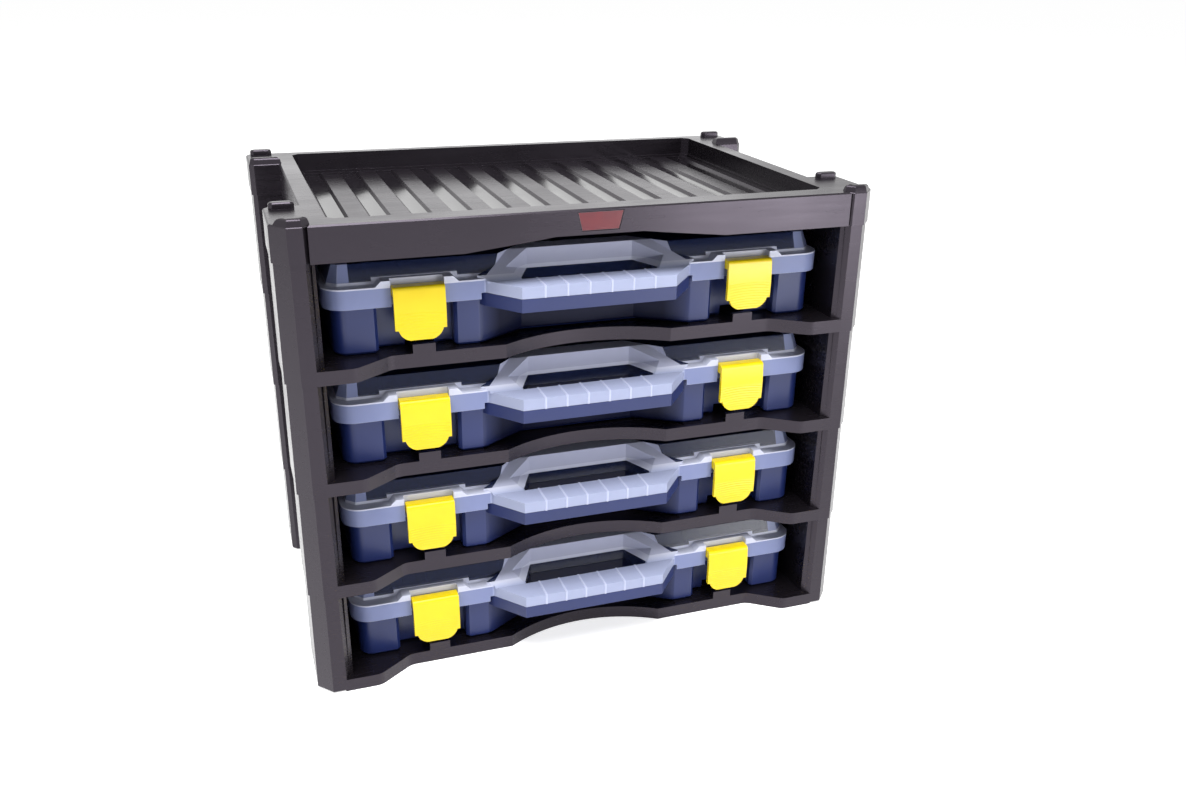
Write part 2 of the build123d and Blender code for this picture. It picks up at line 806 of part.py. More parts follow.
def latch():
    """One snap latch, centred on x = 0: bowed plate, tapered end, catch hook and pivot stubs."""
    root_v = latch_face_v + latch_bow
    back_v = root_v + latch_thickness
    shoulder_z = latch_top_z - latch_brow
    knuckle_flat = latch_barrel_radius * (sqrt(2) - 1)
    with BuildPart() as piece:
        with BuildSketch(Plane.YZ):
            with BuildLine():
                ThreePointArc(
                    (front_y + root_v, latch_bottom_z),
                    (front_y + latch_face_v, (latch_bottom_z + shoulder_z) / 2),
                    (front_y + root_v, shoulder_z),
                )
                RadiusArc(
                    (front_y + root_v, shoulder_z),
                    (front_y + root_v + latch_brow, latch_top_z),
                    latch_brow,
                )
                Polyline(
                    (front_y + root_v + latch_brow, latch_top_z),
                    (front_y + latch_axis_v + knuckle_flat, latch_top_z),
                    (front_y + latch_axis_v + latch_barrel_radius, latch_axis_z + knuckle_flat),
                    (front_y + latch_axis_v + latch_barrel_radius, latch_axis_z - knuckle_flat),
                    (front_y + latch_axis_v + knuckle_flat, latch_axis_z - latch_barrel_radius),
                    (front_y + back_v, latch_axis_z - latch_barrel_radius),
                    (front_y + back_v, latch_bottom_z),
                    (front_y + root_v, latch_bottom_z),
                )
            make_face()
        extrude(amount=latch_width / 2, both=True)
        with BuildSketch(Plane.XZ.offset(-front_y)):
            with BuildLine():
                step_x = latch_width / 2 - latch_step
                for hand in (1, -1):
                    SagittaArc(
                        (hand * step_x, latch_step_z),
                        (hand * latch_tip_width / 2, latch_bottom_z),
                        hand * latch_tip_bulge,
                    )
                    Polyline(
                        (hand * step_x, latch_step_z),
                        (hand * latch_width / 2, latch_step_z),
                        (hand * latch_width / 2, latch_top_z),
                    )
                Line((latch_width / 2, latch_top_z), (-latch_width / 2, latch_top_z))
                Line((latch_tip_width / 2, latch_bottom_z), (-latch_tip_width / 2, latch_bottom_z))
            make_face()
        extrude(amount=-case_height, mode=Mode.INTERSECT)
        with BuildSketch(Plane.YZ):
            hook_v = latch_face_v + latch_thickness / 2
            with Locations((front_y + hook_v, catch_z)):
                Rectangle(catch_front_v - catch_gap - hook_v, hook_height, align=(Align.MIN, Align.MAX))
        extrude(amount=hook_width / 2, both=True)
        with BuildSketch(Plane.YZ):
            pin_section(front_y + latch_axis_v, latch_axis_z, latch_stub_radius)
        extrude(amount=latch_width / 2 + latch_stub_length, both=True)
    return piece.part


def write_piece(shape, name, x=0.0, z=0.0):
    """Places a piece, names it and writes it."""
    with BuildPart() as placed:
        with Locations((x, 0, z)):
            add(shape)
    placed.part.label = name
    export_step(placed.part, f"parts/{name}.step")


foot_module = rack_module(chamfered=True)
upper_module = rack_module(chamfered=False)
for level in range(module_count):
    write_piece(upper_module if level else foot_module, f"rack_module_{level + 1}", z=level * module_pitch)
write_piece(top_tray(), "top_tray")
write_piece(badge(), "badge_plate")

base_shape = case_base()
divider_shape = case_dividers()
lid_shape = case_lid()
latch_shape = latch()
for level in range(module_count):
    case_z = level * module_pitch + lip_height + case_float
    write_piece(base_shape, f"case_{level + 1}_base", z=case_z)
    write_piece(divider_shape, f"case_{level + 1}_dividers", z=case_z)
    write_piece(lid_shape, f"case_{level + 1}_lid", z=case_z)
    write_piece(latch_shape, f"case_{level + 1}_latch_left", x=-latch_x, z=case_z)
    write_piece(latch_shape, f"case_{level + 1}_latch_right", x=latch_x, z=case_z)
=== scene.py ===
import json
import math

import bpy
from mathutils import Matrix, Vector

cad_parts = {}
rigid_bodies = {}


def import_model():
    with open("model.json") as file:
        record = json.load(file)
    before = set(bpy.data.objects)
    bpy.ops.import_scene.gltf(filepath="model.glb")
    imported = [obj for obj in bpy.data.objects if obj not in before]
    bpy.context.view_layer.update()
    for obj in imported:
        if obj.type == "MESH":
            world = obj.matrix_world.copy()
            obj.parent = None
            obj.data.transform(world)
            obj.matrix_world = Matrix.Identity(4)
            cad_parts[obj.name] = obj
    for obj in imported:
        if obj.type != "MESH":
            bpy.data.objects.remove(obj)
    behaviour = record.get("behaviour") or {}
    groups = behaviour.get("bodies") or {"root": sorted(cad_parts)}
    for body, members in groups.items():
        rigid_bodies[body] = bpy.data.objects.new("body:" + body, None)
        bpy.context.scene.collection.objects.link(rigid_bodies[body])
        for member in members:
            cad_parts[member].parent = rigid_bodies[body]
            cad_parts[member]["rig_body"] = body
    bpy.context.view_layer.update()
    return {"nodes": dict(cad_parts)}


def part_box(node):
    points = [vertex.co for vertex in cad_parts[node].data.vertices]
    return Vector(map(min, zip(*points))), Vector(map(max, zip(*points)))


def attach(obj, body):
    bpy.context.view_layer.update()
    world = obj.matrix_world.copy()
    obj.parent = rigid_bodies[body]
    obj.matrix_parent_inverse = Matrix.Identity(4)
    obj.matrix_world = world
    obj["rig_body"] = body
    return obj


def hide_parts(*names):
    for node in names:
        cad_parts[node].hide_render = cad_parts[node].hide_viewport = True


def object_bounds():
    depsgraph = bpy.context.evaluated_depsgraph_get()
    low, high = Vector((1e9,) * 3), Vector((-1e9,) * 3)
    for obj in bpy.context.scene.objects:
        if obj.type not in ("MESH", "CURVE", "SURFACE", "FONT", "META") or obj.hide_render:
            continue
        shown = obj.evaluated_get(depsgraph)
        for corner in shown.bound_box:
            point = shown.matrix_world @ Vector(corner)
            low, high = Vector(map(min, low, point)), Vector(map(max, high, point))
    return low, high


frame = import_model()
nodes = frame["nodes"]
print("frame loaded, nodes:", len(nodes))

mm = 0.001
lowest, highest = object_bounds()
caseNumbers = range(1, 5)
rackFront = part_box("rack_module_1")[0].y  # the front plane of the posts
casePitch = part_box("case_2_base")[0].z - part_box("case_1_base")[0].z
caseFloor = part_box("case_1_base")[0].z
polypropyleneIor = 1.49


def hexColor(text):
    # sRGB hex to the linear values that shaders take
    channels = [int(text[i : i + 2], 16) / 255 for i in (1, 3, 5)]
    linear = [c / 12.92 if c <= 0.04045 else ((c + 0.055) / 1.055) ** 2.4 for c in channels]
    return (*linear, 1.0)


def addNode(tree, kind, inputs=None, **settings):
    # inputs maps a socket to a value, or to (node, output) to link it; the numbered sockets are
    # Mix: 0 share, 2 and 3 plain numbers, 6 and 7 colours, and Map Range: 1 and 2 from, 3 and 4 to
    node = tree.nodes.new(kind)
    for name, value in settings.items():
        setattr(node, name, value)
    for name, value in (inputs or {}).items():
        if isinstance(value, tuple) and isinstance(value[0], bpy.types.Node):
            tree.links.new(value[0].outputs[value[1]], node.inputs[name])
        else:
            node.inputs[name].default_value = value
    return node


def newMaterial(name):
    material = bpy.data.materials.new(name)
    material.use_nodes = True
    tree = material.node_tree
    tree.nodes.clear()
    return material, tree


def noiseScale(sizeMm):
    # the scale of a noise whose blotches are about this wide
    return 1 / (sizeMm * mm)


rackLook = {
    "base": "#0f0d10",
    "flow": "#171418",
    # the edges' colour is painted paler: a painted highlight along their rounding
    "edge": "#2c282d",
    "flowMm": 70,
    "flowDetail": 3.0,
    "flowDistortion": 0.6,
    "streakMm": 2.6,  # the real flow lines are finer: drawn as coarse as they have to be to show
    "streakStretch": (0.06, 1.0, 1.0),  # drawn out along the rack's width
    "streakDetail": 2.0,
    "streakShare": 0.35,
    "marksLow": 0.35,  # between these two the marks go from smoothest to roughest
    "marksHigh": 0.65,
    "roughLow": 0.22,
    "roughHigh": 0.33,
    "edgeRoughLow": 0.24,
    "edgeRoughHigh": 0.3,
    "grainMm": 1.1,  # the real spark texture is finer too
    "grainDetail": 2.0,
    "grainDepthMm": 0.02,
    "grainStrength": 0.3,
    "sheenTint": "#f7e9ff",
}


def blackPolypropylene(name, base, roughLow, roughHigh, grainDepthMm):
    # injection-moulded polypropylene: black with a satin sheen, flow marks and faint long streaks
    look = rackLook
    material, tree = newMaterial(name)
    place = addNode(tree, "ShaderNodeTexCoord")
    cloud = addNode(
        tree,
        "ShaderNodeTexNoise",
        {
            "Vector": (place, "Object"),
            "Scale": noiseScale(look["flowMm"]),
            "Detail": look["flowDetail"],
            "Distortion": look["flowDistortion"],
        },
    )
    drawn = addNode(
        tree, "ShaderNodeMapping", {"Vector": (place, "Object"), "Scale": look["streakStretch"]}
    )
    streak = addNode(
        tree,
        "ShaderNodeTexNoise",
        {
            "Vector": (drawn, 0),
            "Scale": noiseScale(look["streakMm"]),
            "Detail": look["streakDetail"],
        },
    )
    marks = addNode(
        tree,
        "ShaderNodeMix",
        {0: look["streakShare"], 2: (cloud, 0), 3: (streak, 0)},
        data_type="FLOAT",
    )
    color = addNode(
        tree,
        "ShaderNodeMix",
        {0: (marks, 0), 6: hexColor(base), 7: hexColor(look["flow"])},
        data_type="RGBA",
    )
    rough = addNode(
        tree,
        "ShaderNodeMapRange",
        {
            "Value": (marks, 0),
            1: look["marksLow"],
            2: look["marksHigh"],
            3: roughLow,
            4: roughHigh,
        },
    )
    grain = addNode(
        tree,
        "ShaderNodeTexNoise",
        {
            "Vector": (place, "Object"),
            "Scale": noiseScale(look["grainMm"]),
            "Detail": look["grainDetail"],
        },
    )
    bump = addNode(
        tree,
        "ShaderNodeBump",
        {
            "Height": (grain, 0),
            "Strength": look["grainStrength"],
            "Distance": grainDepthMm * mm,
        },
    )
    surface = addNode(
        tree,
        "ShaderNodeBsdfPrincipled",
        {
            "Base Color": (color, 2),
            "Roughness": (rough, 0),
            "Normal": (bump, 0),
            "IOR": polypropyleneIor,
            "Specular Tint": hexColor(look["sheenTint"]),
        },
    )
    addNode(tree, "ShaderNodeOutputMaterial", {"Surface": (surface, 0)})
    return material


blackPlastic = blackPolypropylene(
    "blackPolypropylene",
    rackLook["base"],
    rackLook["roughLow"],
    rackLook["roughHigh"],
    rackLook["grainDepthMm"],
)
# the edges are painted paler, a painted highlight along their rounding, and have no grain
blackHighlightEdge = blackPolypropylene(
    "blackPolypropyleneHighlightEdge",
    rackLook["edge"],
    rackLook["edgeRoughLow"],
    rackLook["edgeRoughHigh"],
    0.0,
)

fluteLook = {
    "base": "#0f0d10",
    "scuff": "#1b181c",
    "scuffMm": 18,
    "scuffDetail": 4.0,
    "scuffLow": 0.35,  # between these two the scuffs go from smoothest to roughest
    "scuffHigh": 0.7,
    "roughLow": 0.09,
    "roughHigh": 0.13,
    "pitchMm": 23.25,  # between the middles of two flutes
    "hollow": 8.5,  # how fast the flute's bottom curves up to its sides, per metre
}


def polishedFlute():
    # the same polypropylene off a polished stretch of the mould: the flutes' hollow bottoms
    # mirror the tray's back wall and the daylight in curved patches
    look = fluteLook
    material, tree = newMaterial("polishedFlute")
    place = addNode(tree, "ShaderNodeTexCoord")
    scuff = addNode(
        tree,
        "ShaderNodeTexNoise",
        {
            "Vector": (place, "Object"),
            "Scale": noiseScale(look["scuffMm"]),
            "Detail": look["scuffDetail"],
        },
    )
    color = addNode(
        tree,
        "ShaderNodeMix",
        {0: (scuff, 0), 6: hexColor(look["base"]), 7: hexColor(look["scuff"])},
        data_type="RGBA",
    )
    rough = addNode(
        tree,
        "ShaderNodeMapRange",
        {
            "Value": (scuff, 0),
            1: look["scuffLow"],
            2: look["scuffHigh"],
            3: look["roughLow"],
            4: look["roughHigh"],
        },
    )
    axes = addNode(tree, "ShaderNodeSeparateXYZ", {0: (place, "Object")})
    half = look["pitchMm"] / 2 * mm
    across = addNode(tree, "ShaderNodeMath", {0: (axes, 0), 1: half}, operation="PINGPONG")
    aside = addNode(tree, "ShaderNodeMath", {0: (across, 0), 1: half}, operation="SUBTRACT")
    square = addNode(tree, "ShaderNodeMath", {0: (aside, 0), 1: (aside, 0)}, operation="MULTIPLY")
    hollow = addNode(
        tree, "ShaderNodeMath", {0: (square, 0), 1: look["hollow"]}, operation="MULTIPLY"
    )
    bump = addNode(
        tree, "ShaderNodeBump", {"Height": (hollow, 0), "Strength": 1.0, "Distance": 1.0}
    )
    surface = addNode(
        tree,
        "ShaderNodeBsdfPrincipled",
        {
            "Base Color": (color, 2),
            "Roughness": (rough, 0),
            "Normal": (bump, 0),
            "IOR": polypropyleneIor,
        },
    )
    addNode(tree, "ShaderNodeOutputMaterial", {"Surface": (surface, 0)})
    return material


flutePlastic = polishedFlute()

baseLook = {
    "base": "#182659",
    "flow": "#202e68",
    # the edges' colour is painted paler: a painted highlight along their rounding
    "edge": "#434f84",
    "recess": "#0a0f2c",  # painted shade in the hand recess, where little light gets in
    "recessFromMm": 16.0,  # behind the rack's front, where the painted shade begins
    "recessFullMm": 27.0,
    "recessBackMm": 36.9,
    "recessHalfMm": 62.0,
    "sheen": 0.5,
    # less sheen deep in the hand recess: more painted shade
    "recessSheen": 0.14,
    "flowMm": 45,
    "flowDetail": 3.0,
    "flowLow": 0.35,  # between these two the clouds go from smoothest to roughest
    "flowHigh": 0.65,
    "roughLow": 0.32,
    "roughHigh": 0.42,
    "grainMm": 1.2,  # the real grain is finer: drawn as coarse as it has to be to show
    "grainDetail": 2.0,
    "grainDepthMm": 0.025,
    "grainStrength": 0.2,
}


def navyPolypropylene(name, base):
    # moulded navy polypropylene: satin and slightly cloudy, with painted shade (a darker colour and
    # less sheen) deep in the hand recess
    look = baseLook
    material, tree = newMaterial(name)
    place = addNode(tree, "ShaderNodeTexCoord")
    cloud = addNode(
        tree,
        "ShaderNodeTexNoise",
        {
            "Vector": (place, "Object"),
            "Scale": noiseScale(look["flowMm"]),
            "Detail": look["flowDetail"],
        },
    )
    cloudy = addNode(
        tree,
        "ShaderNodeMix",
        {0: (cloud, 0), 6: hexColor(base), 7: hexColor(look["flow"])},
        data_type="RGBA",
    )
    # painted shade: the hand recess darkens and loses its sheen towards its back
    axes = addNode(tree, "ShaderNodeSeparateXYZ", {0: (place, "Object")})
    across = addNode(tree, "ShaderNodeMath", {0: (axes, 0)}, operation="ABSOLUTE")
    behind = addNode(tree, "ShaderNodeMath", {0: (axes, 1), 1: rackFront}, operation="SUBTRACT")
    depth = addNode(
        tree,
        "ShaderNodeMapRange",
        {"Value": (behind, 0), 1: look["recessFromMm"] * mm, 2: look["recessFullMm"] * mm},
    )
    within = addNode(
        tree,
        "ShaderNodeMath",
        {0: (across, 0), 1: look["recessHalfMm"] * mm},
        operation="LESS_THAN",
    )
    before = addNode(
        tree,
        "ShaderNodeMath",
        {0: (behind, 0), 1: look["recessBackMm"] * mm},
        operation="LESS_THAN",
    )
    region = addNode(
        tree, "ShaderNodeMath", {0: (within, 0), 1: (before, 0)}, operation="MULTIPLY"
    )
    shaded = addNode(tree, "ShaderNodeMath", {0: (region, 0), 1: (depth, 0)}, operation="MULTIPLY")
    color = addNode(
        tree,
        "ShaderNodeMix",
        {0: (shaded, 0), 6: (cloudy, 2), 7: hexColor(look["recess"])},
        data_type="RGBA",
    )
    rough = addNode(
        tree,
        "ShaderNodeMapRange",
        {
            "Value": (cloud, 0),
            1: look["flowLow"],
            2: look["flowHigh"],
            3: look["roughLow"],
            4: look["roughHigh"],
        },
    )
    grain = addNode(
        tree,
        "ShaderNodeTexNoise",
        {
            "Vector": (place, "Object"),
            "Scale": noiseScale(look["grainMm"]),
            "Detail": look["grainDetail"],
        },
    )
    bump = addNode(
        tree,
        "ShaderNodeBump",
        {
            "Height": (grain, 0),
            "Strength": look["grainStrength"],
            "Distance": look["grainDepthMm"] * mm,
        },
    )
    sheen = addNode(
        tree,
        "ShaderNodeMapRange",
        {"Value": (shaded, 0), 3: look["sheen"], 4: look["recessSheen"]},
    )
    surface = addNode(
        tree,
        "ShaderNodeBsdfPrincipled",
        {
            "Base Color": (color, 2),
            "Roughness": (rough, 0),
            "Normal": (bump, 0),
            "IOR": polypropyleneIor,
            "Specular IOR Level": (sheen, 0),
        },
    )
    addNode(tree, "ShaderNodeOutputMaterial", {"Surface": (surface, 0)})
    return material


navyPlastic = navyPolypropylene("navyPolypropylene", baseLook["base"])
# the edges are painted paler: a painted highlight along their rounding
navyHighlightEdge = navyPolypropylene("navyPolypropyleneHighlightEdge", baseLook["edge"])

# places in a lid are given from the middle, from the rack's front and above the case's floor
lidLook = {
    "frosted": "#8690bd",
    "milky": "#939dc8",
    "handle": "#b0b8d8",
    # painted light: the ledge and the pads' tops, shaded by the shelf, painted pale
    "ledge": "#dfe3f8",
    # painted light: the hole's sloped border painted paler than the frosted plastic
    "rampPaintedLight": "#c6cae4",
    # the edges' colour is painted paler: a painted highlight along their rounding
    "edge": "#eceffd",
    # painted highlight: the ribs' lit ridges as pale stripes
    "ribPaintedHighlight": "#cdd3ee",
    # the window and the hole's wall are painted dark: painted shade of the case's inside seen
    # through them
    "window": "#20294a",
    "frostedAlpha": 0.88,
    "handleAlpha": 0.93,
    "windowAlpha": 0.8,
    "edgeAlpha": 0.9,
    "frostedRough": 0.3,
    "windowRough": 0.16,
    "sheen": 0.28,
    "cloudMm": 22,
    "cloudDetail": 3.0,
    "cloudDistortion": 0.4,
    "windowFromZMm": 38.4,  # above the flange's top ledge
    "windowHalfMm": 131.0,
    "windowSlope": 0.05,
    "windowBackMm": 184.0,
    "handSideMm": 53.0,  # the frosted border of the hand hole: its widest place, and how far back
    "handSideVMm": 23.3,
    "handSlope": 0.99,
    "handBackMm": 45.4,
    "padMiddleMm": 95.5,  # the raised pads behind the latches stay frosted
    "padHalfMm": 22.8,
    "padTopMm": 40.3,
    "ledgeZMm": 37.3,
    "ledgeHalfMm": 1.1,
    "wellFromMm": 15.5,  # the polished straight wall of the hand hole, below the ledge, painted dark as painted shade
    "wellTopMm": 36.2,
    "wellHalfMm": 42.0,
    "barBackMm": 14.5,
    "barFadeMm": 3.0,
    "barHalfMm": 60.0,
    "ribPitchMm": 12.5,
    "ribHalfMm": 0.7,
    "ribbedHalfMm": 37.5,
}


def frostedPolypropylene(name, frosted, milky, alpha):
    # translucent lavender polypropylene: etched and milky, but polished clear over the window, with
    # painted shade there and on the hand hole's wall, and painted light on the ledge, the hole's
    # border and the handle's ribs
    look = lidLook
    material, tree = newMaterial(name)
    place = addNode(tree, "ShaderNodeTexCoord")
    axes = addNode(tree, "ShaderNodeSeparateXYZ", {0: (place, "Object")})
    across = addNode(tree, "ShaderNodeMath", {0: (axes, 0)}, operation="ABSOLUTE")
    behind = addNode(tree, "ShaderNodeMath", {0: (axes, 1), 1: rackFront}, operation="SUBTRACT")
    lifted = addNode(tree, "ShaderNodeMath", {0: (axes, 2), 1: caseFloor}, operation="SUBTRACT")
    height = addNode(tree, "ShaderNodeMath", {0: (lifted, 0), 1: casePitch}, operation="MODULO")

    # the dome's clear top, between its frosted borders, painted dark: painted shade
    high = addNode(
        tree,
        "ShaderNodeMath",
        {0: (height, 0), 1: look["windowFromZMm"] * mm},
        operation="GREATER_THAN",
    )
    narrow = addNode(
        tree,
        "ShaderNodeMath",
        {0: (behind, 0), 1: look["windowSlope"], 2: (across, 0)},
        operation="MULTIPLY_ADD",
    )
    inside = addNode(
        tree,
        "ShaderNodeMath",
        {0: (narrow, 0), 1: look["windowHalfMm"] * mm},
        operation="LESS_THAN",
    )
    beforeBack = addNode(
        tree,
        "ShaderNodeMath",
        {0: (behind, 0), 1: look["windowBackMm"] * mm},
        operation="LESS_THAN",
    )
    dome = addNode(tree, "ShaderNodeMath", {0: (high, 0), 1: (inside, 0)}, operation="MULTIPLY")
    pane = addNode(tree, "ShaderNodeMath", {0: (dome, 0), 1: (beforeBack, 0)}, operation="MULTIPLY")

    # the hand hole's border, which narrows towards the back, painted paler: painted light on its
    # sloped faces
    handEdge = addNode(
        tree,
        "ShaderNodeMath",
        {
            0: (behind, 0),
            1: -look["handSlope"],
            2: (look["handSideMm"] + look["handSideVMm"] * look["handSlope"]) * mm,
        },
        operation="MULTIPLY_ADD",
    )
    besideHand = addNode(
        tree, "ShaderNodeMath", {0: (across, 0), 1: (handEdge, 0)}, operation="GREATER_THAN"
    )
    behindHand = addNode(
        tree,
        "ShaderNodeMath",
        {0: (behind, 0), 1: look["handBackMm"] * mm},
        operation="GREATER_THAN",
    )
    clearOfHand = addNode(
        tree, "ShaderNodeMath", {0: (besideHand, 0), 1: (behindHand, 0)}, operation="MAXIMUM"
    )
    byHand = addNode(
        tree, "ShaderNodeMath", {0: (high, 0), 1: (clearOfHand, 0)}, operation="GREATER_THAN"
    )

    # the pads behind the latches
    besidePad = addNode(
        tree,
        "ShaderNodeMath",
        {0: (across, 0), 1: look["padMiddleMm"] * mm, 2: look["padHalfMm"] * mm},
        operation="COMPARE",
    )
    lowPad = addNode(
        tree, "ShaderNodeMath", {0: (height, 0), 1: look["padTopMm"] * mm}, operation="LESS_THAN"
    )
    pad = addNode(tree, "ShaderNodeMath", {0: (besidePad, 0), 1: (lowPad, 0)}, operation="MULTIPLY")
    offPad = addNode(tree, "ShaderNodeMath", {0: 1.0, 1: (pad, 0)}, operation="SUBTRACT")
    clearOfAll = addNode(
        tree, "ShaderNodeMath", {0: (clearOfHand, 0), 1: (offPad, 0)}, operation="MULTIPLY"
    )
    clearPane = addNode(
        tree, "ShaderNodeMath", {0: (pane, 0), 1: (clearOfAll, 0)}, operation="MULTIPLY"
    )

    # the straight wall of the hand hole, as clear as the window and painted dark like it: painted
    # shade
    belowLedge = addNode(
        tree, "ShaderNodeMath", {0: (height, 0), 1: look["wellTopMm"] * mm}, operation="LESS_THAN"
    )
    behindBar = addNode(
        tree,
        "ShaderNodeMath",
        {0: (behind, 0), 1: look["wellFromMm"] * mm},
        operation="GREATER_THAN",
    )
    deepWall = addNode(
        tree, "ShaderNodeMath", {0: (belowLedge, 0), 1: (behindBar, 0)}, operation="MULTIPLY"
    )
    withinWell = addNode(
        tree, "ShaderNodeMath", {0: (across, 0), 1: look["wellHalfMm"] * mm}, operation="LESS_THAN"
    )
    holeWall = addNode(
        tree, "ShaderNodeMath", {0: (deepWall, 0), 1: (withinWell, 0)}, operation="MULTIPLY"
    )
    well = addNode(
        tree, "ShaderNodeMath", {0: (holeWall, 0), 1: (clearOfHand, 0)}, operation="GREATER_THAN"
    )
    window = addNode(
        tree, "ShaderNodeMath", {0: (clearPane, 0), 1: (well, 0)}, operation="MAXIMUM"
    )

    # the flange's top ledge and the pads' tops, painted pale: painted light where the shelf shades
    # them
    flange = addNode(
        tree,
        "ShaderNodeMath",
        {0: (height, 0), 1: look["ledgeZMm"] * mm, 2: look["ledgeHalfMm"] * mm},
        operation="COMPARE",
    )
    onPad = addNode(tree, "ShaderNodeMath", {0: (pad, 0), 1: (high, 0)}, operation="MULTIPLY")
    ledge = addNode(tree, "ShaderNodeMath", {0: (flange, 0), 1: (onPad, 0)}, operation="MAXIMUM")

    # the handle's bar, and the fine ribs moulded across it, drawn as pale stripes: a painted
    # highlight
    nearBar = addNode(
        tree,
        "ShaderNodeMapRange",
        {
            "Value": (behind, 0),
            1: look["barBackMm"] * mm,
            2: (look["barBackMm"] + look["barFadeMm"]) * mm,
            3: 1.0,
            4: 0.0,
        },
    )
    withinBar = addNode(
        tree, "ShaderNodeMath", {0: (across, 0), 1: look["barHalfMm"] * mm}, operation="LESS_THAN"
    )
    bar = addNode(
        tree, "ShaderNodeMath", {0: (nearBar, 0), 1: (withinBar, 0)}, operation="MULTIPLY"
    )
    halfPitch = look["ribPitchMm"] / 2 * mm
    toRib = addNode(tree, "ShaderNodeMath", {0: (across, 0), 1: halfPitch}, operation="PINGPONG")
    onRib = addNode(
        tree,
        "ShaderNodeMath",
        {0: (toRib, 0), 1: halfPitch - look["ribHalfMm"] * mm},
        operation="GREATER_THAN",
    )
    ribbed = addNode(
        tree,
        "ShaderNodeMath",
        {0: (across, 0), 1: look["ribbedHalfMm"] * mm},
        operation="LESS_THAN",
    )
    ribs = addNode(tree, "ShaderNodeMath", {0: (onRib, 0), 1: (ribbed, 0)}, operation="MULTIPLY")
    barRibs = addNode(tree, "ShaderNodeMath", {0: (ribs, 0), 1: (bar, 0)}, operation="MULTIPLY")

    # the colours, one region over another
    cloud = addNode(
        tree,
        "ShaderNodeTexNoise",
        {
            "Vector": (place, "Object"),
            "Scale": noiseScale(look["cloudMm"]),
            "Detail": look["cloudDetail"],
            "Distortion": look["cloudDistortion"],
        },
    )
    color = addNode(
        tree,
        "ShaderNodeMix",
        {0: (cloud, 0), 6: hexColor(frosted), 7: hexColor(milky)},
        data_type="RGBA",
    )
    for region, shade in (
        (byHand, "rampPaintedLight"),
        (ledge, "ledge"),
        (bar, "handle"),
        (barRibs, "ribPaintedHighlight"),
        (window, "window"),
    ):
        color = addNode(
            tree,
            "ShaderNodeMix",
            {0: (region, 0), 6: (color, 2), 7: hexColor(look[shade])},
            data_type="RGBA",
        )
    dense = addNode(
        tree, "ShaderNodeMapRange", {"Value": (bar, 0), 3: alpha, 4: look["handleAlpha"]}
    )
    opaque = addNode(
        tree,
        "ShaderNodeMix",
        {0: (window, 0), 2: (dense, 0), 3: look["windowAlpha"]},
        data_type="FLOAT",
    )
    rough = addNode(
        tree,
        "ShaderNodeMapRange",
        {"Value": (window, 0), 3: look["frostedRough"], 4: look["windowRough"]},
    )
    surface = addNode(
        tree,
        "ShaderNodeBsdfPrincipled",
        {
            "Base Color": (color, 2),
            "Roughness": (rough, 0),
            "Alpha": (opaque, 0),
            "IOR": polypropyleneIor,
            "Specular IOR Level": look["sheen"],
        },
    )
    addNode(tree, "ShaderNodeOutputMaterial", {"Surface": (surface, 0)})
    return material


frostedPlastic = frostedPolypropylene(
    "frostedPolypropylene", lidLook["frosted"], lidLook["milky"], lidLook["frostedAlpha"]
)
# the edges are painted paler and denser: a painted highlight along their rounding
frostedHighlightEdge = frostedPolypropylene(
    "frostedPolypropyleneHighlightEdge", lidLook["edge"], lidLook["handle"], lidLook["edgeAlpha"]
)

latchLook = {
    "yellow": "#fbe00b",
    "shade": "#f4d404",
    "blotchMm": 14,
    "blotchDetail": 2.0,
    "rough": 0.28,
    "middleMm": 95.5,
    "lineMm": 1.6,  # from one grip line to the next
    "lineDepthMm": 0.14,
    "lineStrength": 0.5,
    "lineSag": 0.006,  # how far the lines droop towards the latch's sides, per mm squared
    "linesToZMm": 23.0,
    "linesFadeMm": 1.5,
}


